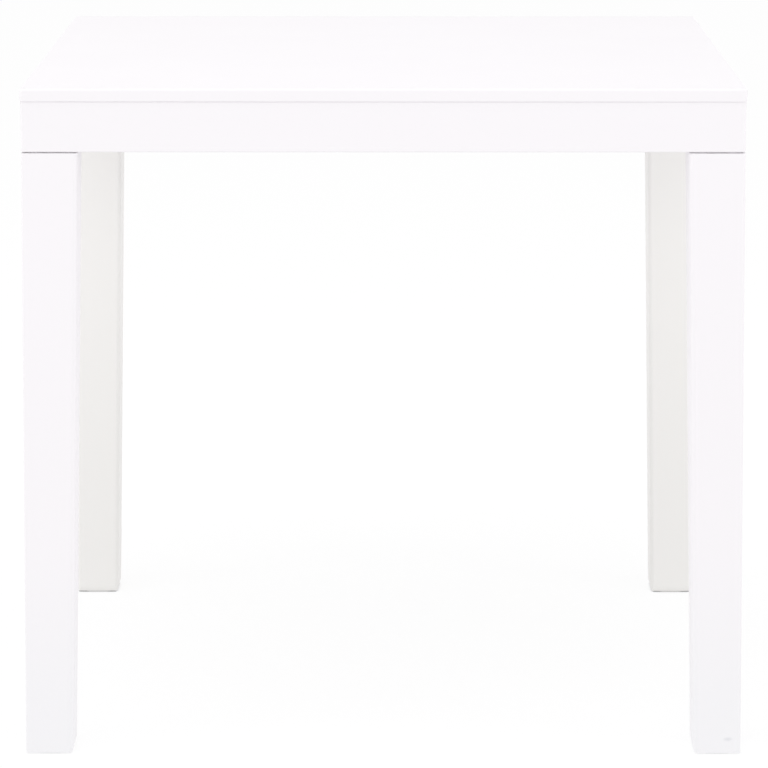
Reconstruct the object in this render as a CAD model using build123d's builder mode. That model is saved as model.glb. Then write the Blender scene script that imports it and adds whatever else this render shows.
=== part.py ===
from build123d import *
import math
import os

# A garden table moulded in polypropylene. A flat top with a deep apron stands on four detachable
# box-section legs, which push up into sockets under its corners and are held there by screws.
# The origin is the middle of the footprint on the floor. X runs along the front and +Z is up.
# The front is towards -Y. All sizes are in millimetres and all angles in degrees.

# The whole table
table_height = 740
top_width = 780
top_depth = 730

# The rim round the top, which stands out over the apron
rim_height = 13
rim_overhang = 0.9
rim_corner_radius = 4
rim_top_radius = 1.6
plate_thickness = 4

# The apron and the shadow groove between it and the rim
apron_height = 55
apron_wall = 3.5
apron_bottom_chamfer = 0.8
apron_core_draft = 0.4
groove_height = 1
groove_depth = 0.6

# The stiffening ribs under the plate, thinner at the tip so that they leave the mould
rib_depth = 20
rib_root_thickness = 3.2
rib_tip_thickness = 2
rib_count_across = 9
rib_count_along = 8

# The legs, which taper to the foot and spread a little outwards
leg_top_width = 60.5
leg_foot_width = 52.5
leg_spread = 7
leg_wall = 3.5
outer_corner_radius = 2
inner_corner_radius = 5.5
foot_floor_thickness = 6
foot_relief_width = 2.5
foot_relief_height = 8

# The spigot on top of each leg, with its crush ribs, and the socket that takes it
shoulder_gap = 1.2
shoulder_thickness = 4
spigot_play = 1
spigot_wall = 3
spigot_lead_in = 1.5
crush_rib_width = 6
crush_rib_gap = 0.3
crush_rib_spacing = 32
crush_rib_height_share = 0.9
socket_wall = 3
socket_corner_radius = 4
socket_setback = 1
stop_rib_height = 10
stop_rib_thickness = 3

# The self-tapping screws, two to a leg, and the pads that they bite into
screw_head_radius = 4
screw_head_height = 2.6
screw_radius = 2
screw_length = 16
screw_hole_clearance = 0.15
socket_hole_clearance = 0.35
recess_length = 4.4
recess_width = 1
recess_depth = 1.6
screw_pad_width = 13
screw_pad_depth = 6
screw_height_share = 0.45

# The push-in glides under the feet
glide_stand = 1.5
glide_setback = 3.25
glide_corner_cut = 12
glide_stem_radius = 3.5
glide_stem_clearance = 0.2

# Heights that follow
plate_underside = table_height - plate_thickness
rim_bottom = table_height - rim_height
apron_bottom = rim_bottom - apron_height
shoulder_height = apron_bottom - shoulder_gap
spigot_top = plate_underside - stop_rib_height
spigot_height = spigot_top - shoulder_height
screw_height = shoulder_height + spigot_height * screw_height_share

# The apron in plan, and where the legs stand
apron_width = top_width - 2 * rim_overhang
apron_depth = top_depth - 2 * rim_overhang
apron_corner_radius = max(rim_corner_radius - rim_overhang, rim_overhang)
core_width = apron_width - 2 * apron_wall
core_depth = apron_depth - 2 * apron_wall
leg_x = (apron_width - leg_top_width) / 2
leg_y = (apron_depth - leg_top_width) / 2
spigot_width = leg_top_width - 2 * (apron_wall + spigot_play)
well_width = spigot_width + 2 * spigot_play
socket_width = well_width + 2 * socket_wall
crush_rib_stand = spigot_play - crush_rib_gap
foot_shift = (leg_top_width - leg_foot_width) / 2 + leg_spread
leg_height = shoulder_height - glide_stand

# The rib grid, evenly spread between the apron's walls
rib_pitch_across = core_width / (rib_count_across + 1)
rib_pitch_along = core_depth / (rib_count_along + 1)
rib_side_angle = math.degrees(math.atan2(rib_depth, (rib_root_thickness - rib_tip_thickness) / 2))

# The screws and their holes
wall_middle = (well_width + socket_wall) / 2
pad_middle = (spigot_width - screw_pad_depth) / 2 - spigot_wall
socket_hole_radius = screw_radius + socket_hole_clearance
pilot_radius = screw_radius + screw_hole_clearance

# The four corners, by the sign of X and of Y
corner_sides = {-1: "left", 1: "right"}
corner_ends = {-1: "front", 1: "rear"}
corner_signs = [(side, end) for side in corner_sides for end in corner_ends]


def leg_share(height):
    """Part of the way from the foot of a leg to its shoulder, from none to one."""
    return (height - glide_stand) / leg_height


def leg_width_at(height):
    """Width of a leg's square section at a height."""
    return leg_foot_width + (leg_top_width - leg_foot_width) * leg_share(height)


def leg_shift_at(height):
    """Distance, in X and in Y, from the shoulder's middle outwards to the section's middle."""
    return foot_shift * (1 - leg_share(height))


def leg_profile(shoulder_middle, outwards, low, high, inset):
    """Adds a leg's tapered outline between two heights, seen along X or Y and set in on its sides."""
    low_middle = shoulder_middle + outwards * leg_shift_at(low)
    high_middle = shoulder_middle + outwards * leg_shift_at(high)
    low_half = leg_width_at(low) / 2 - inset
    high_half = leg_width_at(high) / 2 - inset
    Polygon(
        (low_middle - low_half, low),
        (low_middle + low_half, low),
        (high_middle + high_half, high),
        (high_middle - high_half, high),
        align=None,
    )


# Where the hollow inside a leg begins and ends, and where its foot is eased away
hollow_bottom = glide_stand + foot_floor_thickness
hollow_top = shoulder_height - shoulder_thickness
hollow_corner_radius = max(inner_corner_radius - leg_wall / 2, outer_corner_radius)
relief_top = glide_stand + foot_relief_height
relief_radius = (foot_relief_width**2 + foot_relief_height**2) / (2 * foot_relief_width)
relief_x = leg_x + leg_shift_at(relief_top) - leg_width_at(relief_top) / 2
relief_y = -leg_y - leg_shift_at(relief_top) + leg_width_at(relief_top) / 2
glide_x = leg_x + foot_shift
glide_y = leg_y + foot_shift
glide_width = leg_foot_width - 2 * glide_setback


# The rim and the plate as one slab, rounded above.
with BuildPart() as top_slab:
    with BuildSketch(Plane.XY.offset(rim_bottom)):
        RectangleRounded(top_width, top_depth, rim_corner_radius)
    extrude(amount=rim_height)
    fillet(top_slab.edges().group_by(Axis.Z)[-1], rim_top_radius)

# The top: slab, apron, ribs and corner sockets in one moulding.
with BuildPart() as tabletop:
    # Apron, solid at first, with its lower outer edge eased
    with BuildSketch(Plane.XY.offset(apron_bottom)):
        RectangleRounded(apron_width, apron_depth, apron_corner_radius)
    extrude(amount=apron_height)
    chamfer(tabletop.edges().group_by(Axis.Z)[0], apron_bottom_chamfer)

    # Shadow groove round the top of the apron
    with BuildSketch(Plane.XY.offset(rim_bottom - groove_height)):
        Rectangle(top_width, top_depth)
        RectangleRounded(
            apron_width - 2 * groove_depth,
            apron_depth - 2 * groove_depth,
            apron_corner_radius,
            mode=Mode.SUBTRACT,
        )
    extrude(amount=groove_height, mode=Mode.SUBTRACT)
    add(top_slab.part)

    # Hollow below the plate, its sides leaning so that the core draws out downwards
    with BuildSketch(Plane.XY.offset(apron_bottom)):
        Rectangle(core_width, core_depth)
    extrude(
        amount=plate_underside - apron_bottom,
        taper=apron_core_draft,
        mode=Mode.SUBTRACT,
    )

    # Grid of ribs that stiffens the plate, each one a little thinner at its tip
    with BuildSketch(Plane.XZ):
        with Locations((0, plate_underside)):
            with GridLocations(rib_pitch_across, 0, rib_count_across, 1):
                Trapezoid(
                    rib_root_thickness,
                    rib_depth,
                    rib_side_angle,
                    rotation=180,
                    align=(Align.CENTER, Align.MIN),
                )
    extrude(amount=core_depth / 2, both=True)
    with BuildSketch(Plane.YZ):
        with Locations((0, plate_underside)):
            with GridLocations(rib_pitch_along, 0, rib_count_along, 1):
                Trapezoid(
                    rib_root_thickness,
                    rib_depth,
                    rib_side_angle,
                    rotation=180,
                    align=(Align.CENTER, Align.MIN),
                )
    extrude(amount=core_width / 2, both=True)

    # Corner sockets: walls round a straight-sided well
    with BuildSketch(Plane.XY.offset(apron_bottom + socket_setback)):
        with GridLocations(2 * leg_x, 2 * leg_y, 2, 2):
            RectangleRounded(socket_width, socket_width, socket_corner_radius)
    extrude(amount=plate_underside - apron_bottom - socket_setback)
    with BuildSketch(Plane.XY.offset(apron_bottom)):
        with GridLocations(2 * leg_x, 2 * leg_y, 2, 2):
            Rectangle(well_width, well_width)
    extrude(amount=plate_underside - apron_bottom, mode=Mode.SUBTRACT)

    # Crossed ribs in each well, which the end of the spigot comes up against
    with BuildSketch(Plane.XY.offset(spigot_top)):
        with GridLocations(2 * leg_x, 2 * leg_y, 2, 2):
            Rectangle(well_width, stop_rib_thickness)
            Rectangle(stop_rib_thickness, well_width)
    extrude(amount=stop_rib_height)

    # Screw holes through the two inner walls of each socket
    for side, end in corner_signs:
        with Locations(
            Location(
                (side * (leg_x - wall_middle), end * leg_y, screw_height), (0, 90, 0)
            ),
            Location(
                (side * leg_x, end * (leg_y - wall_middle), screw_height), (90, 0, 0)
            ),
        ):
            Cylinder(socket_hole_radius, 2 * socket_wall, mode=Mode.SUBTRACT)

# The hollow of the front right leg: where its tapered profiles seen from the front and the side meet.
with BuildPart() as leg_hollow:
    with BuildSketch(Plane.XZ):
        leg_profile(leg_x, 1, hollow_bottom, hollow_top, leg_wall)
    extrude(amount=top_depth, both=True)
    with BuildSketch(Plane.YZ):
        leg_profile(-leg_y, -1, hollow_bottom, hollow_top, leg_wall)
    extrude(amount=top_width, both=True, mode=Mode.INTERSECT)
    fillet(leg_hollow.edges().sort_by(SortBy.LENGTH)[-4:], hollow_corner_radius)

# The front right leg. The other three are mirrored from it.
with BuildPart() as leg_front_right:
    # Outer form, from the foot up to the shoulder, found from its two profiles in the same way
    with BuildSketch(Plane.XZ):
        leg_profile(leg_x, 1, glide_stand, shoulder_height, 0)
    extrude(amount=top_depth, both=True)
    with BuildSketch(Plane.YZ):
        leg_profile(-leg_y, -1, glide_stand, shoulder_height, 0)
    extrude(amount=top_width, both=True, mode=Mode.INTERSECT)

    # The outermost of its long edges nearly sharp, the other three well rounded
    long_edges = leg_front_right.edges().sort_by(SortBy.LENGTH)[-4:]
    long_edges = long_edges.sort_by_distance(Vertex(top_width, -top_depth, 0))
    fillet(long_edges[:1], outer_corner_radius)
    fillet(long_edges[1:], inner_corner_radius)

    # Foot curved away on the two sides that face under the table
    with BuildSketch(Plane.XZ):
        with Locations((relief_x, glide_stand)):
            Rectangle(foot_relief_width, foot_relief_height, align=Align.MIN)
        with Locations((relief_x + relief_radius, relief_top)):
            Circle(relief_radius, mode=Mode.SUBTRACT)
    extrude(amount=top_depth, both=True, mode=Mode.SUBTRACT)
    with BuildSketch(Plane.YZ):
        with Locations((relief_y, glide_stand)):
            Rectangle(
                foot_relief_width, foot_relief_height, align=(Align.MAX, Align.MIN)
            )
        with Locations((relief_y - relief_radius, relief_top)):
            Circle(relief_radius, mode=Mode.SUBTRACT)
    extrude(amount=top_width, both=True, mode=Mode.SUBTRACT)

    # Spigot with a lead-in at its end and two crush ribs on each face
    with BuildSketch(Plane.XY.offset(shoulder_height)):
        with Locations((leg_x, -leg_y)):
            Rectangle(spigot_width, spigot_width)
    extrude(amount=spigot_height)
    chamfer(leg_front_right.edges().group_by(Axis.Z)[-1], spigot_lead_in)
    with BuildSketch(Plane.XY.offset(shoulder_height)):
        with Locations((leg_x, -leg_y)):
            with GridLocations(0, crush_rib_spacing, 1, 2):
                Rectangle(spigot_width + 2 * crush_rib_stand, crush_rib_width)
            with GridLocations(crush_rib_spacing, 0, 2, 1):
                Rectangle(crush_rib_width, spigot_width + 2 * crush_rib_stand)
    extrude(amount=spigot_height * crush_rib_height_share)

    # Hollow of the leg, which follows its taper, and the straight hollow of the spigot
    add(leg_hollow.part, mode=Mode.SUBTRACT)
    with BuildSketch(Plane.XY.offset(hollow_top)):
        with Locations((leg_x, -leg_y)):
            Rectangle(spigot_width - 2 * spigot_wall, spigot_width - 2 * spigot_wall)
    extrude(amount=spigot_top - hollow_top, mode=Mode.SUBTRACT)

    # Pads on the spigot's two inner walls, thick enough for the screws to bite
    with BuildSketch(Plane.XY.offset(hollow_top)):
        with Locations((leg_x - pad_middle, -leg_y)):
            Rectangle(screw_pad_depth, screw_pad_width)
        with Locations((leg_x, -leg_y + pad_middle)):
            Rectangle(screw_pad_width, screw_pad_depth)
    extrude(amount=spigot_top - hollow_top - spigot_lead_in)
    with Locations(
        Location((leg_x - pad_middle, -leg_y, screw_height), (0, 90, 0)),
        Location((leg_x, -leg_y + pad_middle, screw_height), (90, 0, 0)),
    ):
        Cylinder(pilot_radius, 2 * (screw_pad_depth + spigot_wall), mode=Mode.SUBTRACT)

    # Hole for the glide's stem
    with Locations((glide_x, -glide_y, glide_stand)):
        Cylinder(
            glide_stem_radius + glide_stem_clearance,
            2 * foot_floor_thickness,
            mode=Mode.SUBTRACT,
        )

with BuildPart() as leg_front_left:
    mirror(leg_front_right.part, about=Plane.YZ)

with BuildPart() as leg_rear_right:
    mirror(leg_front_right.part, about=Plane.XZ)

with BuildPart() as leg_rear_left:
    mirror(leg_front_left.part, about=Plane.XZ)

# A cheese-head screw standing on its head's flat face, its blunt end towards +Z.
with BuildPart() as screw_blank:
    with BuildSketch():
        Circle(screw_radius)
    extrude(amount=screw_length)
    with BuildSketch():
        Circle(screw_head_radius)
    extrude(amount=-screw_head_height)
    with BuildSketch(Plane.XY.offset(-screw_head_height)):
        Rectangle(recess_length, recess_width)
        Rectangle(recess_width, recess_length)
    extrude(amount=recess_depth, mode=Mode.SUBTRACT)

# A push-in glide: a square pad with cut corners, and a stem that is pressed into the foot's floor.
with BuildPart() as glide_blank:
    with BuildSketch() as glide_pad:
        Rectangle(glide_width, glide_width)
        chamfer(glide_pad.vertices(), glide_corner_cut)
    extrude(amount=glide_stand)
    with BuildSketch():
        Circle(glide_stem_radius)
    extrude(amount=glide_stand + foot_floor_thickness)

os.makedirs("parts", exist_ok=True)

tabletop.part.label = "tabletop"
export_step(tabletop.part, "parts/tabletop.step")
leg_front_left.part.label = "leg_front_left"
export_step(leg_front_left.part, "parts/leg_front_left.step")
leg_front_right.part.label = "leg_front_right"
export_step(leg_front_right.part, "parts/leg_front_right.step")
leg_rear_left.part.label = "leg_rear_left"
export_step(leg_rear_left.part, "parts/leg_rear_left.step")
leg_rear_right.part.label = "leg_rear_right"
export_step(leg_rear_right.part, "parts/leg_rear_right.step")

# Each corner has one glide and two screws, one driven along X and one along Y.
for side, end in corner_signs:
    corner = f"{corner_ends[end]}_{corner_sides[side]}"
    with BuildPart() as foot_glide:
        with Locations((side * glide_x, end * glide_y)):
            add(glide_blank.part)
    foot_glide.part.label = f"foot_glide_{corner}"
    export_step(foot_glide.part, f"parts/foot_glide_{corner}.step")

    with BuildPart() as side_screw:
        with Locations(
            Location(
                (side * (leg_x - socket_width / 2), end * leg_y, screw_height),
                (0, side * 90, 0),
            )
        ):
            add(screw_blank.part)
    side_screw.part.label = f"leg_screw_{corner}_along_x"
    export_step(side_screw.part, f"parts/leg_screw_{corner}_along_x.step")

    with BuildPart() as end_screw:
        with Locations(
            Location(
                (side * leg_x, end * (leg_y - socket_width / 2), screw_height),
                (end * -90, 0, 0),
            )
        ):
            add(screw_blank.part)
    end_screw.part.label = f"leg_screw_{corner}_along_y"
    export_step(end_screw.part, f"parts/leg_screw_{corner}_along_y.step")
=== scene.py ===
import math

import bmesh
import bpy
from bpy.props import FloatProperty, FloatVectorProperty, IntProperty, PointerProperty
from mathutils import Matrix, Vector


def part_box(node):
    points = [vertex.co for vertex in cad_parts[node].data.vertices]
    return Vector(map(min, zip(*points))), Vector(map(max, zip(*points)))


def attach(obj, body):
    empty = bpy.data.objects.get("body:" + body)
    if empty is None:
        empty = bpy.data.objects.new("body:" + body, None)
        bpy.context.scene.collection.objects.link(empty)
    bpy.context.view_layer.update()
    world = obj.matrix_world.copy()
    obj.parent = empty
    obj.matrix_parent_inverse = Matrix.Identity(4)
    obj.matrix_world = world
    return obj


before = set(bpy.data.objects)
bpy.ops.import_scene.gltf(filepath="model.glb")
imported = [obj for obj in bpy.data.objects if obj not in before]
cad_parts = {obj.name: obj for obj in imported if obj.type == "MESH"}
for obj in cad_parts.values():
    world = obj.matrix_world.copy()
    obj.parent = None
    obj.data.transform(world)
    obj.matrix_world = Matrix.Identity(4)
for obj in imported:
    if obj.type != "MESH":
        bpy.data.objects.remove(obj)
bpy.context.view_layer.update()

bl_info = {
    "name": "Garden table",
    "version": (1, 0, 0),
    "blender": (4, 5, 0),
    "location": "View3D > Sidebar > Garden table",
    "description": "Finishes a moulded garden table and sets up its studio",
    "category": "Object",
}

# Sizes of the table that its details are placed by, in metres. They are those of its CAD model.
PLATE_UNDERSIDE = 0.736
CORE_WIDTH = 0.7712
CORE_DEPTH = 0.7212
CELLS_ACROSS = 10
CELLS_ALONG = 9
SCREW_LENGTH = 0.016

# Patterns in the plastic. Scales are waves in a metre, reaches and heights are in metres, and the
# rest have no unit.
PIGMENT_SCALE = 2.3
GLOSS_SCALE = 9.0
GLOSS_SPREAD = 0.05
EDGE_GLOSS = 0.1
# Painted shade in inner corners: how far it reaches and how dark it gets
CORNER_REACH = 0.02
CORNER_SHADE = 0.985
# Dusting and painted shade towards the feet: the size and height of its ragged edge, and the height
# where it is full
DUST_AND_SHADE_CLOUD_SCALE = 14.0
DUST_AND_SHADE_CLOUD_HEIGHT = 0.06
FULL_DUST_AND_SHADE_HEIGHT = 0.03
SCUFF_CLOUD_SCALE = 700.0
SCUFF_CLOUD_SHARE = 0.5
PLASTIC_IOR = 1.49

# Pattern in the zinc of the screws: waves in a metre, range of roughness and height in metres
ZINC_SCALE = 900.0
ZINC_GLOSS = (0.25, 0.45)
ZINC_BUMP = 0.00002

# The thread: how far from the head it starts, the share of the screw that it covers, the steps of
# a turn and the sides of its section
THREAD_START = 0.001
THREAD_SHARE = 0.65
THREAD_STEPS = 20
THREAD_SIDES = 4

# Cells of the rib grid from one pin mark to the next, and the sides of a mark
PIN_STEP_ACROSS = 3
PIN_STEP_ALONG = 2
PIN_SIDES = 28

# Rings of the gate stub, each as shares of its radius and of its height
STUB_RING_SHARES = (
    (1.9, 0),
    (1.75, 0.16),
    (1.15, 0.2),
    (1.0, 0.32),
    (0.86, 0.9),
    (0.74, 1),
    (0.3, 0.93),
)
STUB_SIDES = 40

# Colours of the floor that lights the table and of the floor that shows its shadow
FLOOR_COLOUR = (0.9, 0.9, 0.9, 1)
SHADOWED_COLOUR = (1.1, 1.1, 1.1, 1)
WHITE = (1, 1, 1, 1)

# How open the floor has to be for no painted contact shadow, and how far from the table's middle,
# in metres, the painted contact shadow has the full colour of the front or the rear feet
OPEN_SHARE = 0.6
MIDDLE_REACH = 0.2

# Places, targets and sizes of the lamps. The side lamps mirror each other.
SIDE_LAMP_PLACE = (9.4, -4.8, 1.3)
SIDE_LAMP_TARGET = (0, 0, 0.4)
SIDE_LAMP_SIZE = 4.0
TOP_LAMP_PLACE = (-0.3, -1.2, 4.2)
TOP_LAMP_TARGET = (0, 0, 0.7)
TOP_LAMP_SIZE = 3.5

SENSOR_WIDTH = 36
CLIP_END = 200


class PlasticSettings(bpy.types.PropertyGroup):
    colour: FloatVectorProperty(
        name="Colour",
        description="Colour of the white plastic",
        subtype="COLOR",
        size=3,
        min=0,
        max=1,
        default=(0.935, 0.91, 0.937),
    )
    shade: FloatVectorProperty(
        name="Shade",
        description="Slightly duller colour that drifts through the plastic",
        subtype="COLOR",
        size=3,
        min=0,
        max=1,
        default=(0.92, 0.897, 0.919),
    )
    # Painted shade: the rear legs' faces that look under the table get these darker, warmer colours
    rear_painted_shade_colour: FloatVectorProperty(
        name="Rear painted shade colour",
        description="Colour of the rear legs' faces that look under the table, darker and warmer as painted shade",
        subtype="COLOR",
        size=3,
        min=0,
        max=1,
        default=(0.948, 0.936, 0.916),
    )
    rear_painted_shade_drift: FloatVectorProperty(
        name="Rear painted shade drift",
        description="Slightly duller painted shade colour that drifts through the rear legs' inward faces",
        subtype="COLOR",
        size=3,
        min=0,
        max=1,
        default=(0.933, 0.92, 0.898),
    )
    roughness: FloatProperty(
        name="Roughness",
        description="Roughness of the satin moulded face",
        subtype="FACTOR",
        min=0,
        max=1,
        default=0.42,
    )
    grain_size: FloatProperty(
        name="Grain size",
        description="Size of the fine orange-peel grain of the mould",
        subtype="DISTANCE",
        unit="LENGTH",
        min=0.0001,
        default=0.0016,
    )
    grain_height: FloatProperty(
        name="Grain height",
        description="Height of the grain",
        subtype="DISTANCE",
        unit="LENGTH",
        min=0,
        default=0.000012,
    )
    edge_width: FloatProperty(
        name="Edge width",
        description="How far the rubbed look reaches in from an edge",
        subtype="DISTANCE",
        unit="LENGTH",
        min=0.0001,
        default=0.0012,
    )
    # Dusting and painted shade: the front legs turn darker and cooler towards the feet
    dust_and_painted_shade: FloatVectorProperty(
        name="Foot dusting and painted shade",
        description="Tint of the dusting and painted shade on the lower part of the front legs, darker and cooler towards the feet",
        subtype="COLOR",
        size=3,
        min=0,
        max=1,
        default=(0.965, 0.983, 0.978),
    )
    dust_and_painted_shade_height: FloatProperty(
        name="Foot dusting and painted shade height",
        description="How far up the front legs the dusting and painted shade reach",
        subtype="DISTANCE",
        unit="LENGTH",
        min=0.04,
        default=0.3,
    )
    # Painted shade: the rear legs' inward faces turn darker towards the feet
    rear_foot_painted_shade: FloatVectorProperty(
        name="Rear foot painted shade",
        description="Tint of the painted shade on the rear legs' inward faces, darkest at the feet",
        subtype="COLOR",
        size=3,
        min=0,
        max=1,
        default=(0.915, 0.915, 0.915),
    )
    rear_foot_painted_shade_height: FloatProperty(
        name="Rear foot painted shade height",
        description="How far up the rear legs the painted shade reaches",
        subtype="DISTANCE",
        unit="LENGTH",
        min=0.04,
        default=0.7,
    )
    # Painted shade on the sides of the rear legs that look inwards
    rear_side_painted_shade: FloatVectorProperty(
        name="Rear side painted shade",
        description="Tint of the painted shade on the sides of the rear legs that look inwards",
        subtype="COLOR",
        size=3,
        min=0,
        max=1,
        default=(0.955, 0.955, 0.955),
    )
    scuff_place: FloatVectorProperty(
        name="Scuff place",
        description="Middle of the small dark scuff on the front right foot",
        subtype="TRANSLATION",
        unit="LENGTH",
        size=3,
        default=(0.3816, -0.37, 0.0175),
    )
    scuff_size: FloatVectorProperty(
        name="Scuff size",
        description="Half the width, depth and height of the scuff",
        subtype="TRANSLATION",
        unit="LENGTH",
        size=3,
        default=(0.0062, 0.03, 0.0032),
    )
    scuff_colour: FloatVectorProperty(
        name="Scuff colour",
        description="Tint of the scuff at its middle",
        subtype="COLOR",
        size=3,
        min=0,
        max=1,
        default=(0.87, 0.875, 0.89),
    )


class HardwareSettings(bpy.types.PropertyGroup):
    glide_colour: FloatVectorProperty(
        name="Glide colour",
        description="Colour of the glides under the feet",
        subtype="COLOR",
        size=3,
        min=0,
        max=1,
        default=(0.94, 0.94, 0.935),
    )
    glide_wear: FloatProperty(
        name="Glide wear",
        description="Share of the glides' colour that is left where they are worn",
        subtype="FACTOR",
        min=0,
        max=1,
        default=0.9,
    )
    glide_roughness: FloatProperty(
        name="Glide roughness",
        description="Roughness of the matt glides",
        subtype="FACTOR",
        min=0,
        max=1,
        default=0.6,
    )
    glide_grain_size: FloatProperty(
        name="Glide grain size",
        description="Size of the scuffs on the glides",
        subtype="DISTANCE",
        unit="LENGTH",
        min=0.0001,
        default=0.0008,
    )
    glide_grain_height: FloatProperty(
        name="Glide grain height",
        description="Depth of the scuffs on the glides",
        subtype="DISTANCE",
        unit="LENGTH",
        min=0,
        default=0.00003,
    )
    glide_edge_width: FloatProperty(
        name="Glide edge width",
        description="How far the rubbed look reaches in from a glide's edge",
        subtype="DISTANCE",
        unit="LENGTH",
        min=0.0001,
        default=0.0006,
    )
    # Painted shade on the glides under the rear feet
    rear_glide_painted_shade: FloatVectorProperty(
        name="Rear glide painted shade",
        description="Tint of the painted shade on the glides under the rear feet",
        subtype="COLOR",
        size=3,
        min=0,
        max=1,
        default=(0.7, 0.69, 0.68),
    )
    dull_screw_colour: FloatVectorProperty(
        name="Dull screw colour",
        description="Colour of the duller patches on the screws",
        subtype="COLOR",
        size=3,
        min=0,
        max=1,
        default=(0.5, 0.5, 0.49),
    )
    screw_colour: FloatVectorProperty(
        name="Screw colour",
        description="Colour of the zinc-plated screws",
        subtype="COLOR",
        size=3,
        min=0,
        max=1,
        default=(0.62, 0.62, 0.63),
    )
    thread_pitch: FloatProperty(
        name="Thread pitch",
        description="Distance between two turns of the screw thread",
        subtype="DISTANCE",
        unit="LENGTH",
        min=0.0002,
        default=0.0018,
    )
    thread_radius: FloatProperty(
        name="Thread radius",
        description="Radius that the thread winds at",
        subtype="DISTANCE",
        unit="LENGTH",
        min=0.0002,
        default=0.002,
    )
    thread_depth: FloatProperty(
        name="Thread depth",
        description="Radius of the thread's own section",
        subtype="DISTANCE",
        unit="LENGTH",
        min=0.00005,
        default=0.0004,
    )


class UndersideSettings(bpy.types.PropertyGroup):
    pin_columns: IntProperty(
        name="Pin columns",
        description="Columns of ejector pin marks under the plate",
        min=1,
        default=4,
    )
    pin_rows: IntProperty(
        name="Pin rows",
        description="Rows of ejector pin marks under the plate",
        min=1,
        default=4,
    )
    pin_radius: FloatProperty(
        name="Pin radius",
        description="Radius of an ejector pin mark",
        subtype="DISTANCE",
        unit="LENGTH",
        min=0.0005,
        default=0.004,
    )
    pin_height: FloatProperty(
        name="Pin height",
        description="How far a pin mark stands out of the plate",
        subtype="DISTANCE",
        unit="LENGTH",
        min=0.00005,
        default=0.0004,
    )
    gate_radius: FloatProperty(
        name="Gate radius",
        description="Radius of the trimmed stub where the plastic entered the mould",
        subtype="DISTANCE",
        unit="LENGTH",
        min=0.0005,
        default=0.005,
    )
    gate_height: FloatProperty(
        name="Gate height",
        description="Height of the trimmed stub",
        subtype="DISTANCE",
        unit="LENGTH",
        min=0.0001,
        default=0.003,
    )


class StudioSettings(bpy.types.PropertyGroup):
    world_strength: FloatProperty(
        name="World strength",
        description="Even light from all round",
        min=0,
        default=0.8,
    )
    key_power: FloatProperty(
        name="Key power",
        description="Power of each of the two large soft lamps at the sides",
        unit="POWER",
        min=0,
        default=236,
    )
    top_power: FloatProperty(
        name="Top power",
        description="Power of the large soft lamp overhead",
        unit="POWER",
        min=0,
        default=41,
    )
    floor_size: FloatProperty(
        name="Floor size",
        description="Side of the square floor",
        subtype="DISTANCE",
        unit="LENGTH",
        min=1,
        default=60,
    )
    shadow_share: FloatProperty(
        name="Shadow share",
        description="How much of the shadow the white floor shows",
        subtype="FACTOR",
        min=0,
        max=1,
        default=0.16,
    )
    floor_glow: FloatProperty(
        name="Floor glow",
        description="Strength at which the evenly lit floor lights the table",
        min=0,
        default=0.92,
    )
    # Painted contact shadow on the floor round the feet, darker at the rear feet
    contact_shadow_reach: FloatProperty(
        name="Contact shadow reach",
        description="How far the painted contact shadow round a foot reaches over the floor",
        subtype="DISTANCE",
        unit="LENGTH",
        min=0.001,
        default=0.012,
    )
    contact_shadow_colour: FloatVectorProperty(
        name="Contact shadow colour",
        description="Colour of the painted contact shadow on the white floor where a front foot all but touches it",
        subtype="COLOR",
        size=3,
        min=0,
        max=1,
        default=(0.9, 0.9, 0.9),
    )
    rear_contact_shadow_colour: FloatVectorProperty(
        name="Rear contact shadow colour",
        description="Colour of the painted contact shadow on the white floor where a rear foot all but touches it",
        subtype="COLOR",
        size=3,
        min=0,
        max=1,
        default=(0.2, 0.2, 0.2),
    )
    glow_share: FloatProperty(
        name="Glow share",
        description="How much of the floor's light is free of the table's shadow",
        subtype="FACTOR",
        min=0,
        max=1,
        default=0.85,
    )
    lens: FloatProperty(
        name="Lens",
        description="Focal length of the camera",
        subtype="DISTANCE_CAMERA",
        min=10,
        default=173.04,
    )
    camera_place: FloatVectorProperty(
        name="Camera place",
        description="Where the camera stands",
        subtype="TRANSLATION",
        unit="LENGTH",
        size=3,
        default=(0.0088, -4.2936, 1.241),
    )
    camera_pitch: FloatProperty(
        name="Camera pitch",
        description="How far the camera looks down",
        subtype="ANGLE",
        unit="ROTATION",
        default=math.radians(11.83),
    )
    camera_turn: FloatProperty(
        name="Camera turn",
        description="How far the camera is turned to its left",
        subtype="ANGLE",
        unit="ROTATION",
        default=math.radians(0.117),
    )


def add_node(tree, kind, **values):
    """Adds a node with its properties, and with its inputs' values from a dict named sockets."""
    node = tree.nodes.new(kind)
    for name, value in values.pop("sockets", {}).items():
        node.inputs[name].default_value = value
    for name, value in values.items():
        setattr(node, name, value)
    return node


def new_group(name, kind, inputs, outputs):
    """A node group with named sockets, each given as name, socket type and default."""
    group = bpy.data.node_groups.new(name, kind)
    for socket_name, socket_type, default in inputs:
        socket = group.interface.new_socket(socket_name, in_out="INPUT", socket_type=socket_type)
        if default is not None:
            socket.default_value = default
    for socket_name, socket_type in outputs:
        group.interface.new_socket(socket_name, in_out="OUTPUT", socket_type=socket_type)
    return group


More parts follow.
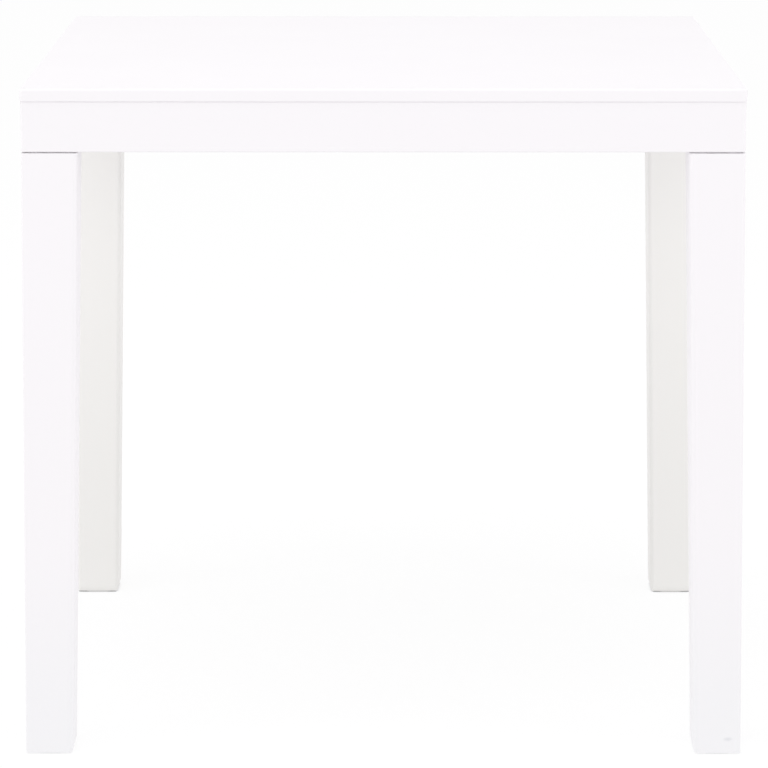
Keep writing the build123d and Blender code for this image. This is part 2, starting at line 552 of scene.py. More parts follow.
def moulded_surface_group():
    """Fine mould grain, slow colour drift, uneven gloss, a dusting with painted shade towards the
    feet and painted shade in inner corners, shared by every moulded piece.
    """
    name = "Moulded surface"
    if name in bpy.data.node_groups:
        return bpy.data.node_groups[name]
    group = new_group(
        name,
        "ShaderNodeTree",
        [
            ("Colour", "NodeSocketColor", (0.9, 0.9, 0.9, 1)),
            ("Shade", "NodeSocketColor", (0.85, 0.85, 0.85, 1)),
            ("Roughness", "NodeSocketFloat", 0.4),
            ("Grain size", "NodeSocketFloat", 0.0016),
            ("Edge width", "NodeSocketFloat", 0.0012),
            ("Foot dusting and painted shade height", "NodeSocketFloat", 0.3),
            ("Foot dusting and painted shade colour", "NodeSocketColor", (0.96, 0.97, 0.97, 1)),
        ],
        [
            ("Colour", "NodeSocketColor"),
            ("Roughness", "NodeSocketFloat"),
            ("Height", "NodeSocketFloat"),
        ],
    )
    link = group.links.new
    entry = add_node(group, "NodeGroupInput")
    leave = add_node(group, "NodeGroupOutput")
    place = add_node(group, "ShaderNodeTexCoord")

    # Slow drift of the pigment
    drift = add_node(group, "ShaderNodeTexNoise", sockets={"Scale": PIGMENT_SCALE, "Detail": 2.0})
    link(place.outputs["Object"], drift.inputs["Vector"])
    pigment = add_node(group, "ShaderNodeMix", data_type="RGBA")
    link(drift.outputs["Fac"], pigment.inputs["Factor"])
    link(entry.outputs["Colour"], pigment.inputs["A"])
    link(entry.outputs["Shade"], pigment.inputs["B"])

    # Painted shade in inner corners, from ambient occlusion
    corner = add_node(
        group, "ShaderNodeAmbientOcclusion", samples=4, sockets={"Distance": CORNER_REACH}
    )
    painted_corner_shade = add_node(
        group,
        "ShaderNodeMapRange",
        sockets={"From Min": 0.0, "From Max": 0.6, "To Min": CORNER_SHADE, "To Max": 1.0},
    )
    link(corner.outputs["AO"], painted_corner_shade.inputs["Value"])

    # Dusting and painted shade that rise from the ground, densest at the feet
    height = add_node(group, "ShaderNodeSeparateXYZ")
    link(place.outputs["Object"], height.inputs["Vector"])
    cloud = add_node(
        group, "ShaderNodeTexNoise", sockets={"Scale": DUST_AND_SHADE_CLOUD_SCALE, "Detail": 3.0}
    )
    link(place.outputs["Object"], cloud.inputs["Vector"])
    ragged = add_node(
        group, "ShaderNodeMath", operation="MULTIPLY_ADD", sockets={1: DUST_AND_SHADE_CLOUD_HEIGHT}
    )
    link(cloud.outputs["Fac"], ragged.inputs[0])
    link(height.outputs["Z"], ragged.inputs[2])
    dust_and_painted_shade = add_node(
        group,
        "ShaderNodeMapRange",
        interpolation_type="SMOOTHSTEP",
        sockets={"From Min": FULL_DUST_AND_SHADE_HEIGHT, "To Min": 1.0, "To Max": 0.0},
    )
    link(ragged.outputs["Value"], dust_and_painted_shade.inputs["Value"])
    link(entry.outputs["Foot dusting and painted shade height"], dust_and_painted_shade.inputs["From Max"])
    dusted_and_shaded = add_node(group, "ShaderNodeMix", data_type="RGBA", blend_type="MULTIPLY")
    link(dust_and_painted_shade.outputs["Result"], dusted_and_shaded.inputs["Factor"])
    link(pigment.outputs["Result"], dusted_and_shaded.inputs["A"])
    link(entry.outputs["Foot dusting and painted shade colour"], dusted_and_shaded.inputs["B"])
    shaded_in_corners = add_node(group, "ShaderNodeVectorMath", operation="SCALE")
    link(dusted_and_shaded.outputs["Result"], shaded_in_corners.inputs["Vector"])
    link(painted_corner_shade.outputs["Result"], shaded_in_corners.inputs["Scale"])
    link(shaded_in_corners.outputs["Vector"], leave.inputs["Colour"])

    # Fine grain, cut into the mould
    count = add_node(group, "ShaderNodeMath", operation="DIVIDE", sockets={0: 1.0})
    link(entry.outputs["Grain size"], count.inputs[1])
    grain = add_node(group, "ShaderNodeTexNoise", sockets={"Detail": 1.0, "Roughness": 0.6})
    link(place.outputs["Object"], grain.inputs["Vector"])
    link(count.outputs["Value"], grain.inputs["Scale"])
    link(grain.outputs["Fac"], leave.inputs["Height"])

    # Gloss that varies a little over the face, and is rubbed brighter along edges
    patches = add_node(group, "ShaderNodeTexNoise", sockets={"Scale": GLOSS_SCALE, "Detail": 3.0})
    link(place.outputs["Object"], patches.inputs["Vector"])
    spread = add_node(
        group,
        "ShaderNodeMapRange",
        sockets={"From Min": 0.3, "From Max": 0.7, "To Min": -GLOSS_SPREAD, "To Max": GLOSS_SPREAD},
    )
    link(patches.outputs["Fac"], spread.inputs["Value"])
    rounded = add_node(group, "ShaderNodeBevel", samples=4)
    link(entry.outputs["Edge width"], rounded.inputs["Radius"])
    flat = add_node(group, "ShaderNodeNewGeometry")
    likeness = add_node(group, "ShaderNodeVectorMath", operation="DOT_PRODUCT")
    link(rounded.outputs["Normal"], likeness.inputs[0])
    link(flat.outputs["Normal"], likeness.inputs[1])
    rubbed = add_node(
        group,
        "ShaderNodeMapRange",
        sockets={"From Min": 1.0, "From Max": 0.85, "To Min": 0.0, "To Max": -EDGE_GLOSS},
    )
    link(likeness.outputs["Value"], rubbed.inputs["Value"])
    uneven = add_node(group, "ShaderNodeMath", operation="ADD")
    link(spread.outputs["Result"], uneven.inputs[0])
    link(rubbed.outputs["Result"], uneven.inputs[1])
    total = add_node(group, "ShaderNodeMath", operation="ADD", use_clamp=True)
    link(entry.outputs["Roughness"], total.inputs[0])
    link(uneven.outputs["Value"], total.inputs[1])
    link(total.outputs["Value"], leave.inputs["Roughness"])
    return group


def inward_group():
    """Masks of the faces that look towards the table's middle, and of those that do sideways, where
    the rear legs get painted shade.
    """
    name = "Inward faces"
    if name in bpy.data.node_groups:
        return bpy.data.node_groups[name]
    group = new_group(
        name,
        "ShaderNodeTree",
        [],
        [("Inwards", "NodeSocketFloat"), ("Sideways", "NodeSocketFloat")],
    )
    link = group.links.new
    leave = add_node(group, "NodeGroupOutput")
    place = add_node(group, "ShaderNodeTexCoord")
    side = add_node(group, "ShaderNodeVectorMath", operation="SIGN")
    link(place.outputs["Object"], side.inputs[0])
    outwards = add_node(group, "ShaderNodeVectorMath", operation="MULTIPLY")
    link(side.outputs["Vector"], outwards.inputs[0])
    link(place.outputs["Normal"], outwards.inputs[1])
    parts = add_node(group, "ShaderNodeSeparateXYZ")
    link(outwards.outputs["Vector"], parts.inputs["Vector"])
    least = add_node(group, "ShaderNodeMath", operation="MINIMUM")
    link(parts.outputs["X"], least.inputs[0])
    link(parts.outputs["Y"], least.inputs[1])
    for value, socket in ((least.outputs["Value"], "Inwards"), (parts.outputs["X"], "Sideways")):
        mask = add_node(
            group,
            "ShaderNodeMapRange",
            interpolation_type="SMOOTHSTEP",
            sockets={"From Min": -0.1, "From Max": -0.8},
        )
        link(value, mask.inputs["Value"])
        link(mask.outputs["Result"], leave.inputs[socket])
    return group


def scuff_group():
    """A small cloudy mark round a point, strongest at its middle."""
    name = "Scuff"
    if name in bpy.data.node_groups:
        return bpy.data.node_groups[name]
    group = new_group(
        name,
        "ShaderNodeTree",
        [
            ("Middle", "NodeSocketVector", (0, 0, 0)),
            ("Half size", "NodeSocketVector", (0.01, 0.01, 0.01)),
        ],
        [("Mask", "NodeSocketFloat")],
    )
    link = group.links.new
    entry = add_node(group, "NodeGroupInput")
    leave = add_node(group, "NodeGroupOutput")
    place = add_node(group, "ShaderNodeTexCoord")
    offset = add_node(group, "ShaderNodeVectorMath", operation="SUBTRACT")
    link(place.outputs["Object"], offset.inputs[0])
    link(entry.outputs["Middle"], offset.inputs[1])
    share = add_node(group, "ShaderNodeVectorMath", operation="DIVIDE")
    link(offset.outputs["Vector"], share.inputs[0])
    link(entry.outputs["Half size"], share.inputs[1])
    distance = add_node(group, "ShaderNodeVectorMath", operation="LENGTH")
    link(share.outputs["Vector"], distance.inputs[0])
    cloud = add_node(
        group, "ShaderNodeTexNoise", sockets={"Scale": SCUFF_CLOUD_SCALE, "Detail": 2.0}
    )
    link(place.outputs["Object"], cloud.inputs["Vector"])
    ragged = add_node(
        group, "ShaderNodeMath", operation="MULTIPLY_ADD", sockets={1: SCUFF_CLOUD_SHARE}
    )
    link(cloud.outputs["Fac"], ragged.inputs[0])
    link(distance.outputs["Value"], ragged.inputs[2])
    mark = add_node(
        group,
        "ShaderNodeMapRange",
        interpolation_type="SMOOTHSTEP",
        sockets={"From Min": 0.4, "From Max": 1.3, "To Min": 1.0, "To Max": 0.0},
    )
    link(ragged.outputs["Value"], mark.inputs["Value"])
    link(mark.outputs["Result"], leave.inputs["Mask"])
    return group


def new_material(name):
    """An empty node material, with its output node."""
    material = bpy.data.materials.new(name)
    material.use_nodes = True
    material.node_tree.nodes.clear()
    output = add_node(material.node_tree, "ShaderNodeOutputMaterial")
    return material, output


def moulded_surface(tree, colour, shade, roughness, grain_size, edge_width, dust_and_painted_shade):
    """The shared surface group in a material. Its dusting and painted shade towards the feet are
    given as a height and a colour.
    """
    surface = add_node(tree, "ShaderNodeGroup", node_tree=moulded_surface_group())
    surface.inputs["Colour"].default_value = (*colour, 1)
    surface.inputs["Shade"].default_value = (*shade, 1)
    surface.inputs["Roughness"].default_value = roughness
    surface.inputs["Grain size"].default_value = grain_size
    surface.inputs["Edge width"].default_value = edge_width
    surface.inputs["Foot dusting and painted shade height"].default_value = dust_and_painted_shade[0]
    surface.inputs["Foot dusting and painted shade colour"].default_value = (*dust_and_painted_shade[1], 1)
    return surface


def moulded_shader(tree, output, surface, colour, grain_height):
    """The plastic itself, with a colour and with the gloss and grain of a surface group."""
    link = tree.links.new
    bump = add_node(tree, "ShaderNodeBump", sockets={"Distance": grain_height})
    shader = add_node(tree, "ShaderNodeBsdfPrincipled", sockets={"IOR": PLASTIC_IOR})
    link(colour, shader.inputs["Base Color"])
    link(surface.outputs["Roughness"], shader.inputs["Roughness"])
    link(surface.outputs["Height"], bump.inputs["Height"])
    link(bump.outputs["Normal"], shader.inputs["Normal"])
    link(shader.outputs["BSDF"], output.inputs["Surface"])


def multiplied(tree, colour, tint, mask):
    """A colour with a tint multiplied in by a mask."""
    mix = add_node(tree, "ShaderNodeMix", data_type="RGBA", blend_type="MULTIPLY")
    mix.inputs["B"].default_value = (*tint, 1)
    tree.links.new(mask, mix.inputs["Factor"])
    tree.links.new(colour, mix.inputs["A"])
    return mix.outputs["Result"]


def plain_surface(tree):
    """The surface of the white plastic, as it is on every outer face of the table."""
    plastic = bpy.context.scene.table_plastic
    return moulded_surface(
        tree,
        plastic.colour,
        plastic.shade,
        plastic.roughness,
        plastic.grain_size,
        plastic.edge_width,
        (plastic.dust_and_painted_shade_height, plastic.dust_and_painted_shade),
    )


def white_plastic():
    """The white polypropylene of the top and the front legs, with a small scuff on one foot."""
    name = "White plastic"
    if name in bpy.data.materials:
        return bpy.data.materials[name]
    plastic = bpy.context.scene.table_plastic
    material, output = new_material(name)
    tree = material.node_tree
    surface = plain_surface(tree)
    scuff = add_node(tree, "ShaderNodeGroup", node_tree=scuff_group())
    scuff.inputs["Middle"].default_value = plastic.scuff_place
    scuff.inputs["Half size"].default_value = plastic.scuff_size
    colour = multiplied(
        tree, surface.outputs["Colour"], plastic.scuff_colour, scuff.outputs["Mask"]
    )
    moulded_shader(tree, output, surface, colour, plastic.grain_height)
    return material


def rear_plastic_with_painted_shade():
    """The same plastic on the rear legs, with painted shade, darker and warmer, where it looks
    under the table.
    """
    name = "Rear white plastic"
    if name in bpy.data.materials:
        return bpy.data.materials[name]
    plastic = bpy.context.scene.table_plastic
    material, output = new_material(name)
    tree = material.node_tree
    link = tree.links.new
    outer = plain_surface(tree)
    inner = moulded_surface(
        tree,
        plastic.rear_painted_shade_colour,
        plastic.rear_painted_shade_drift,
        plastic.roughness,
        plastic.grain_size,
        plastic.edge_width,
        (plastic.rear_foot_painted_shade_height, plastic.rear_foot_painted_shade),
    )
    # Outer faces keep the plain plastic, and faces that look under the table take the painted shade
    # colours
    faces = add_node(tree, "ShaderNodeGroup", node_tree=inward_group())
    either = add_node(tree, "ShaderNodeMix", data_type="RGBA")
    link(faces.outputs["Inwards"], either.inputs["Factor"])
    link(outer.outputs["Colour"], either.inputs["A"])
    link(inner.outputs["Colour"], either.inputs["B"])
    # Painted shade on the sides of the rear legs that look inwards
    colour = multiplied(
        tree, either.outputs["Result"], plastic.rear_side_painted_shade, faces.outputs["Sideways"]
    )
    moulded_shader(tree, output, inner, colour, plastic.grain_height)
    return material


def glide_plastic(rear=False):
    """The white polyethylene of the glides, matt and scuffed, with painted shade under the rear
    feet.
    """
    name = "Rear glide plastic" if rear else "Glide plastic"
    if name in bpy.data.materials:
        return bpy.data.materials[name]
    hardware = bpy.context.scene.table_hardware
    plastic = bpy.context.scene.table_plastic
    worn = tuple(hardware.glide_wear * part for part in hardware.glide_colour)
    material, output = new_material(name)
    tree = material.node_tree
    surface = moulded_surface(
        tree,
        hardware.glide_colour,
        worn,
        hardware.glide_roughness,
        hardware.glide_grain_size,
        hardware.glide_edge_width,
        (plastic.dust_and_painted_shade_height, hardware.rear_glide_painted_shade if rear else plastic.dust_and_painted_shade),
    )
    moulded_shader(tree, output, surface, surface.outputs["Colour"], hardware.glide_grain_height)
    return material


def zinc_steel():
    """The zinc-plated steel of the screws, with faint duller patches."""
    name = "Zinc-plated steel"
    if name in bpy.data.materials:
        return bpy.data.materials[name]
    hardware = bpy.context.scene.table_hardware
    material, output = new_material(name)
    tree = material.node_tree
    link = tree.links.new
    place = add_node(tree, "ShaderNodeTexCoord")
    mottle = add_node(tree, "ShaderNodeTexNoise", sockets={"Scale": ZINC_SCALE, "Detail": 3.0})
    link(place.outputs["Object"], mottle.inputs["Vector"])
    tint = add_node(tree, "ShaderNodeMix", data_type="RGBA")
    tint.inputs["A"].default_value = (*hardware.screw_colour, 1)
    tint.inputs["B"].default_value = (*hardware.dull_screw_colour, 1)
    link(mottle.outputs["Fac"], tint.inputs["Factor"])
    smooth, rough = ZINC_GLOSS
    gloss = add_node(tree, "ShaderNodeMapRange", sockets={"To Min": smooth, "To Max": rough})
    link(mottle.outputs["Fac"], gloss.inputs["Value"])
    bump = add_node(tree, "ShaderNodeBump", sockets={"Distance": ZINC_BUMP})
    link(mottle.outputs["Fac"], bump.inputs["Height"])
    shader = add_node(tree, "ShaderNodeBsdfPrincipled", sockets={"Metallic": 1.0})
    link(tint.outputs["Result"], shader.inputs["Base Color"])
    link(gloss.outputs["Result"], shader.inputs["Roughness"])
    link(bump.outputs["Normal"], shader.inputs["Normal"])
    link(shader.outputs["BSDF"], output.inputs["Surface"])
    return material


def dress(node_name, material):
    """Gives a CAD node its material."""
    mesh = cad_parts[node_name].data
    mesh.materials.clear()
    mesh.materials.append(material)


def add_piece(name, mesh, material):
    """Makes a mesh a piece of the table, riding on its one body."""
    mesh.materials.clear()
    mesh.materials.append(material)
    piece = bpy.data.objects.new(name, mesh)
    bpy.context.scene.collection.objects.link(piece)
    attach(piece, "root")
    return piece


def baked(tree, points, inputs, material):
    """Runs a Geometry Nodes tree on a mesh of points and returns the result as a plain mesh."""
    carrier = bpy.data.objects.new("carrier", points)
    bpy.context.scene.collection.objects.link(carrier)
    modifier = carrier.modifiers.new("Repeat", "NODES")
    modifier.node_group = tree
    values = dict(inputs, Material=material)
    for item in tree.interface.items_tree:
        if item.in_out == "INPUT" and item.name in values:
            modifier[item.identifier] = values[item.name]
    depsgraph = bpy.context.evaluated_depsgraph_get()
    mesh = bpy.data.meshes.new_from_object(carrier.evaluated_get(depsgraph))
    carrier.modifiers.remove(modifier)
    bpy.data.objects.remove(carrier)
    return mesh


def repeat_tree(name, inputs):
    """A Geometry Nodes tree with its geometry sockets, its named inputs and a material."""
    return new_group(
        name,
        "GeometryNodeTree",
        [
            ("Geometry", "NodeSocketGeometry", None),
            *inputs,
            ("Material", "NodeSocketMaterial", None),
        ],
        [("Geometry", "NodeSocketGeometry")],
    )


def finish_tree(tree, entry, geometry):
    """Ends a tree in Realize Instances and Set Material."""
    link = tree.links.new
    realize = add_node(tree, "GeometryNodeRealizeInstances")
    paint = add_node(tree, "GeometryNodeSetMaterial")
    leave = add_node(tree, "NodeGroupOutput")
    link(geometry, realize.inputs["Geometry"])
    link(realize.outputs["Geometry"], paint.inputs["Geometry"])
    link(entry.outputs["Material"], paint.inputs["Material"])
    link(paint.outputs["Geometry"], leave.inputs["Geometry"])


def pin_mark_tree():
    """Low round discs on a flat grid, each sunk by half into the plate at the given level."""
    tree = repeat_tree(
        "Ejector pin marks",
        [
            ("Columns", "NodeSocketInt", 4),
            ("Rows", "NodeSocketInt", 4),
            ("Width", "NodeSocketFloat", 0.5),
            ("Depth", "NodeSocketFloat", 0.5),
            ("Level", "NodeSocketFloat", 0.7),
            ("Radius", "NodeSocketFloat", 0.004),
            ("Height", "NodeSocketFloat", 0.0004),
        ],
    )
    link = tree.links.new
    entry = add_node(tree, "NodeGroupInput")
    grid = add_node(tree, "GeometryNodeMeshGrid")
    link(entry.outputs["Width"], grid.inputs["Size X"])
    link(entry.outputs["Depth"], grid.inputs["Size Y"])
    link(entry.outputs["Columns"], grid.inputs["Vertices X"])
    link(entry.outputs["Rows"], grid.inputs["Vertices Y"])
    place = add_node(tree, "ShaderNodeCombineXYZ")
    link(entry.outputs["Level"], place.inputs["Z"])
    lift = add_node(tree, "GeometryNodeTransform")
    link(grid.outputs["Mesh"], lift.inputs["Geometry"])
    link(place.outputs["Vector"], lift.inputs["Translation"])
    disc = add_node(tree, "GeometryNodeMeshCylinder")
    disc.inputs["Vertices"].default_value = PIN_SIDES
    link(entry.outputs["Radius"], disc.inputs["Radius"])
    link(entry.outputs["Height"], disc.inputs["Depth"])
    spread = add_node(tree, "GeometryNodeInstanceOnPoints")
    link(lift.outputs["Geometry"], spread.inputs["Points"])
    link(disc.outputs["Mesh"], spread.inputs["Instance"])
    finish_tree(tree, entry, spread.outputs["Instances"])
    return tree


def screw_thread_tree():
    """A thread wound round each screw: one helix on every point, turned as the point says."""
    tree = repeat_tree(
        "Screw threads",
        [
            ("Turns", "NodeSocketFloat", 7.0),
            ("Radius", "NodeSocketFloat", 0.002),
            ("Length", "NodeSocketFloat", 0.012),
            ("Start", "NodeSocketFloat", 0.001),
            ("Depth", "NodeSocketFloat", 0.0004),
        ],
    )
    link = tree.links.new
    entry = add_node(tree, "NodeGroupInput")
    helix = add_node(tree, "GeometryNodeCurveSpiral")
    helix.inputs["Resolution"].default_value = THREAD_STEPS
    link(entry.outputs["Turns"], helix.inputs["Rotations"])
    link(entry.outputs["Radius"], helix.inputs["Start Radius"])
    link(entry.outputs["Radius"], helix.inputs["End Radius"])
    link(entry.outputs["Length"], helix.inputs["Height"])
    section = add_node(tree, "GeometryNodeCurvePrimitiveCircle")
    section.inputs["Resolution"].default_value = THREAD_SIDES
    link(entry.outputs["Depth"], section.inputs["Radius"])
    wire = add_node(tree, "GeometryNodeCurveToMesh")
    wire.inputs["Fill Caps"].default_value = True
    link(helix.outputs["Curve"], wire.inputs["Curve"])
    link(section.outputs["Curve"], wire.inputs["Profile Curve"])
    offset = add_node(tree, "ShaderNodeCombineXYZ")
    link(entry.outputs["Start"], offset.inputs["Z"])
    along = add_node(tree, "GeometryNodeTransform")
    link(wire.outputs["Mesh"], along.inputs["Geometry"])
    link(offset.outputs["Vector"], along.inputs["Translation"])
    heading = add_node(tree, "GeometryNodeInputNamedAttribute", data_type="FLOAT_VECTOR")
    heading.inputs["Name"].default_value = "heading"
    turned = add_node(tree, "FunctionNodeEulerToRotation")
    link(heading.outputs["Attribute"], turned.inputs["Euler"])
    spread = add_node(tree, "GeometryNodeInstanceOnPoints")
    link(entry.outputs["Geometry"], spread.inputs["Points"])
    link(along.outputs["Geometry"], spread.inputs["Instance"])
    link(turned.outputs["Rotation"], spread.inputs["Rotation"])
    finish_tree(tree, entry, spread.outputs["Instances"])
    return tree


class TABLE_OT_finish_plastic(bpy.types.Operator):
    """Gives the top and the legs their white plastic, with painted shade on the rear legs"""

    bl_idname = "table.finish_plastic"
    bl_label = "Finish top and legs"

    def execute(self, context):
        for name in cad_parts:
            if name == "tabletop" or name.startswith("leg_front"):
                dress(name, white_plastic())
            elif name.startswith("leg_rear"):
                dress(name, rear_plastic_with_painted_shade())
        return {"FINISHED"}


class TABLE_OT_finish_glides(bpy.types.Operator):
    """Gives the glides their white plastic"""

    bl_idname = "table.finish_glides"
    bl_label = "Finish glides"

    def execute(self, context):
        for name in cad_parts:
            if name.startswith("foot_glide"):
                dress(name, glide_plastic(rear=name.startswith("foot_glide_rear")))
        return {"FINISHED"}


class TABLE_OT_finish_screws(bpy.types.Operator):
    """Gives the screws their steel and winds a thread round each one"""

    bl_idname = "table.finish_screws"
    bl_label = "Finish screws"

    def execute(self, context):
        hardware = context.scene.table_hardware
        points = bpy.data.meshes.new("screw places")
        places = []
        headings = []
        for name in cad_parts:
            if not name.startswith("leg_screw"):
                continue
            dress(name, zinc_steel())
            low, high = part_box(name)
            middle = (Vector(low) + Vector(high)) / 2
            axis = 0 if name.endswith("along_x") else 1
            side = math.copysign(1, middle[axis])
            tip = max(abs(low[axis]), abs(high[axis]))
            middle[axis] = side * (tip - SCREW_LENGTH)
            places.append(middle)
            headings.append(
                (0, side * math.pi / 2, 0) if axis == 0 else (-side * math.pi / 2, 0, 0)
            )
        points.from_pydata(places, [], [])
        heading = points.attributes.new("heading", "FLOAT_VECTOR", "POINT")
        for item, value in zip(heading.data, headings):
            item.vector = value
        length = THREAD_SHARE * SCREW_LENGTH
        mesh = baked(
            screw_thread_tree(),
            points,
            {
                "Turns": length / hardware.thread_pitch,
                "Radius": hardware.thread_radius,
                "Length": length,
                "Start": THREAD_START,
                "Depth": hardware.thread_depth,
            },
            zinc_steel(),
        )
        add_piece("screw_threads", mesh, zinc_steel())
        return {"FINISHED"}


class TABLE_OT_add_pin_marks(bpy.types.Operator):
    """Adds the marks that ejector pins leave under the plate"""

    bl_idname = "table.add_pin_marks"
    bl_label = "Add ejector pin marks"

    def execute(self, context):
        underside = context.scene.table_underside
        cell_x = CORE_WIDTH / CELLS_ACROSS
        cell_y = CORE_DEPTH / CELLS_ALONG
        step_x, step_y = PIN_STEP_ACROSS * cell_x, PIN_STEP_ALONG * cell_y
        mesh = baked(
            pin_mark_tree(),
            bpy.data.meshes.new("no points"),
            {
                "Columns": underside.pin_columns,
                "Rows": underside.pin_rows,
                "Width": step_x * (underside.pin_columns - 1),
                "Depth": step_y * (underside.pin_rows - 1),
                "Level": PLATE_UNDERSIDE,
                "Radius": underside.pin_radius,
                "Height": 2 * underside.pin_height,
            },
            white_plastic(),
        )
        add_piece("ejector_pin_marks", mesh, white_plastic())
        return {"FINISHED"}


class TABLE_OT_add_gate_stub(bpy.types.Operator):
    """Adds the trimmed stub where the plastic entered the mould"""

    bl_idname = "table.add_gate_stub"
    bl_label = "Add gate stub"

    def execute(self, context):
        underside = context.scene.table_underside
        radius, height = underside.gate_radius, underside.gate_height
        # The stub stands in the middle of a cell of the rib grid
        middle_x = CORE_WIDTH / CELLS_ACROSS / 2
        shape = bmesh.new()
        rings = []
        for radius_share, depth_share in STUB_RING_SHARES:
            reach = radius * radius_share
            level = PLATE_UNDERSIDE - height * depth_share
            ring = []
            for step in range(STUB_SIDES):
                turn = 2 * math.pi * step / STUB_SIDES
                x = middle_x + reach * math.cos(turn)
                ring.append(shape.verts.new((x, reach * math.sin(turn), level)))
            rings.append(ring)
        for upper, lower in zip(rings, rings[1:]):
            for step in range(STUB_SIDES):
                after = (step + 1) % STUB_SIDES
                shape.faces.new((upper[step], upper[after], lower[after], lower[step]))
        shape.faces.new(rings[0])
        shape.faces.new(rings[-1])
        bmesh.ops.recalc_face_normals(shape, faces=shape.faces)
        mesh = bpy.data.meshes.new("gate_stub")
        shape.to_mesh(mesh)
        shape.free()
        add_piece("gate_stub", mesh, white_plastic())
        return {"FINISHED"}


def floor_material():
    """A white floor that shows a faint shadow and a painted contact shadow round the feet, clear
    from below so the underside can be seen.
    """
    studio = bpy.context.scene.table_studio
    material, output = new_material("Studio floor")
    tree = material.node_tree
    link = tree.links.new
    # What the table itself gets from the floor: its plain colour, evened by the lit sweep under it
    plain = add_node(tree, "ShaderNodeBsdfDiffuse")
    plain.inputs["Color"].default_value = FLOOR_COLOUR
    glow = add_node(tree, "ShaderNodeEmission", sockets={"Strength": studio.floor_glow})
    glow.inputs["Color"].default_value = FLOOR_COLOUR
    lit = add_node(tree, "ShaderNodeMixShader")
    lit.inputs["Fac"].default_value = studio.glow_share
    link(plain.outputs["BSDF"], lit.inputs[1])
    link(glow.outputs["Emission"], lit.inputs[2])
    seen = add_node(tree, "ShaderNodeBsdfDiffuse")
    seen.inputs["Color"].default_value = SHADOWED_COLOUR
    white = add_node(tree, "ShaderNodeEmission")
    near = add_node(tree, "ShaderNodeAmbientOcclusion", samples=16)
    near.inputs["Distance"].default_value = studio.contact_shadow_reach
    open_floor = add_node(tree, "ShaderNodeMapRange", interpolation_type="SMOOTHSTEP")
    open_floor.inputs["From Max"].default_value = OPEN_SHARE
    # The painted contact shadow is darker at the rear feet
    place = add_node(tree, "ShaderNodeTexCoord")
    where = add_node(tree, "ShaderNodeSeparateXYZ")
    link(place.outputs["Object"], where.inputs["Vector"])
    rearwards = add_node(
        tree,
        "ShaderNodeMapRange",
        sockets={"From Min": -MIDDLE_REACH, "From Max": MIDDLE_REACH},
    )
    link(where.outputs["Y"], rearwards.inputs["Value"])
    contact_shadow_tone = add_node(tree, "ShaderNodeMix", data_type="RGBA")
    contact_shadow_tone.inputs["A"].default_value = (*studio.contact_shadow_colour, 1)
    contact_shadow_tone.inputs["B"].default_value = (*studio.rear_contact_shadow_colour, 1)
    link(rearwards.outputs["Result"], contact_shadow_tone.inputs["Factor"])
    contact = add_node(tree, "ShaderNodeMix", data_type="RGBA")
    contact.inputs["B"].default_value = WHITE
    link(contact_shadow_tone.outputs["Result"], contact.inputs["A"])
    link(near.outputs["AO"], open_floor.inputs["Value"])
    link(open_floor.outputs["Result"], contact.inputs["Factor"])
    link(contact.outputs["Result"], white.inputs["Color"])
    faint = add_node(tree, "ShaderNodeMixShader")
    faint.inputs["Fac"].default_value = studio.shadow_share
    link(white.outputs["Emission"], faint.inputs[1])
    link(seen.outputs["BSDF"], faint.inputs[2])
    rays = add_node(tree, "ShaderNodeLightPath")
    shows = add_node(tree, "ShaderNodeMath", operation="MAXIMUM")
    link(rays.outputs["Is Camera Ray"], shows.inputs[0])
    link(rays.outputs["Is Glossy Ray"], shows.inputs[1])
    by_ray = add_node(tree, "ShaderNodeMixShader")
    link(shows.outputs["Value"], by_ray.inputs["Fac"])
    link(lit.outputs["Shader"], by_ray.inputs[1])
    link(faint.outputs["Shader"], by_ray.inputs[2])
    clear = add_node(tree, "ShaderNodeBsdfTransparent")
    side = add_node(tree, "ShaderNodeNewGeometry")
    below = add_node(tree, "ShaderNodeMixShader")
    link(side.outputs["Backfacing"], below.inputs["Fac"])
    link(by_ray.outputs["Shader"], below.inputs[1])
    link(clear.outputs["BSDF"], below.inputs[2])
    link(below.outputs["Shader"], output.inputs["Surface"])
    return material


def add_lamp(name, place, target, size, power):
    """A square soft lamp that points from its place at a target."""
    lamp = bpy.data.lights.new(name, "AREA")
    lamp.shape = "SQUARE"
    lamp.size = size
    lamp.energy = power
    holder = bpy.data.objects.new(name, lamp)
    holder.location = place
    holder.rotation_euler = (Vector(target) - Vector(place)).to_track_quat("-Z", "Y").to_euler()
    bpy.context.scene.collection.objects.link(holder)


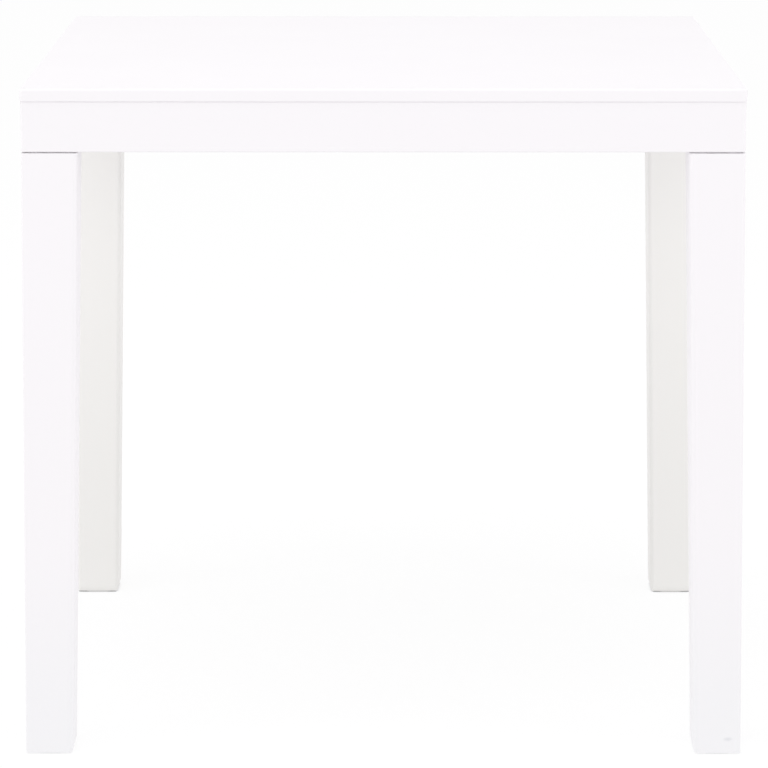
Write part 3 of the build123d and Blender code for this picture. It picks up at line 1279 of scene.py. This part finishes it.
class TABLE_OT_set_studio(bpy.types.Operator):
    """Sets up the floor, the world, the lamps and the camera"""

    bl_idname = "table.set_studio"
    bl_label = "Set up studio"

    def execute(self, context):
        scene = context.scene
        studio = scene.table_studio

        half = studio.floor_size / 2
        mesh = bpy.data.meshes.new("floor")
        corners = [(-half, -half, 0), (half, -half, 0), (half, half, 0), (-half, half, 0)]
        mesh.from_pydata(corners, [], [(0, 1, 2, 3)])
        mesh.materials.append(floor_material())
        floor = bpy.data.objects.new("floor", mesh)
        scene.collection.objects.link(floor)

        world = bpy.data.worlds.new("Studio world")
        world.use_nodes = True
        tree = world.node_tree
        tree.nodes.clear()
        link = tree.links.new
        output = add_node(tree, "ShaderNodeOutputWorld")
        even = add_node(tree, "ShaderNodeBackground", sockets={"Strength": studio.world_strength})
        even.inputs["Color"].default_value = WHITE
        backdrop = add_node(tree, "ShaderNodeBackground", sockets={"Strength": 1.0})
        backdrop.inputs["Color"].default_value = WHITE
        rays = add_node(tree, "ShaderNodeLightPath")
        shows = add_node(tree, "ShaderNodeMath", operation="MAXIMUM")
        link(rays.outputs["Is Camera Ray"], shows.inputs[0])
        link(rays.outputs["Is Glossy Ray"], shows.inputs[1])
        mix = add_node(tree, "ShaderNodeMixShader")
        link(shows.outputs["Value"], mix.inputs["Fac"])
        link(even.outputs["Background"], mix.inputs[1])
        link(backdrop.outputs["Background"], mix.inputs[2])
        link(mix.outputs["Shader"], output.inputs["Surface"])
        scene.world = world

        away, forward, up = SIDE_LAMP_PLACE
        for name, side in (("left lamp", -1), ("right lamp", 1)):
            place = (side * away, forward, up)
            add_lamp(name, place, SIDE_LAMP_TARGET, SIDE_LAMP_SIZE, studio.key_power)
        add_lamp("top lamp", TOP_LAMP_PLACE, TOP_LAMP_TARGET, TOP_LAMP_SIZE, studio.top_power)

        lens = bpy.data.cameras.new("camera")
        lens.lens = studio.lens
        lens.sensor_width = SENSOR_WIDTH
        lens.clip_end = CLIP_END
        camera = bpy.data.objects.new("camera", lens)
        camera.location = studio.camera_place
        camera.rotation_euler = (math.pi / 2 - studio.camera_pitch, 0, studio.camera_turn)
        scene.collection.objects.link(camera)
        scene.camera = camera
        scene.view_settings.view_transform = "Standard"
        return {"FINISHED"}


class TABLE_PT_panel(bpy.types.Panel):
    """The steps that make the table, in order"""

    bl_idname = "TABLE_PT_panel"
    bl_label = "Garden table"
    bl_space_type = "VIEW_3D"
    bl_region_type = "UI"
    bl_category = "Garden table"

    def draw(self, context):
        for step in STEPS:
            self.layout.operator(step.bl_idname)


STEPS = (
    TABLE_OT_finish_plastic,
    TABLE_OT_finish_glides,
    TABLE_OT_finish_screws,
    TABLE_OT_add_pin_marks,
    TABLE_OT_add_gate_stub,
    TABLE_OT_set_studio,
)
SETTINGS = {
    "table_plastic": PlasticSettings,
    "table_hardware": HardwareSettings,
    "table_underside": UndersideSettings,
    "table_studio": StudioSettings,
}


def register():
    for group in SETTINGS.values():
        bpy.utils.register_class(group)
    for name, group in SETTINGS.items():
        setattr(bpy.types.Scene, name, PointerProperty(type=group))
    for step in STEPS:
        bpy.utils.register_class(step)
    bpy.utils.register_class(TABLE_PT_panel)


def unregister():
    bpy.utils.unregister_class(TABLE_PT_panel)
    for step in reversed(STEPS):
        bpy.utils.unregister_class(step)
    for name, group in SETTINGS.items():
        delattr(bpy.types.Scene, name)
        bpy.utils.unregister_class(group)


def main():
    register()
    bpy.ops.table.finish_plastic()
    bpy.ops.table.finish_glides()
    bpy.ops.table.finish_screws()
    bpy.ops.table.add_pin_marks()
    bpy.ops.table.add_gate_stub()
    bpy.ops.table.set_studio()


if __name__ == "__main__":
    main()
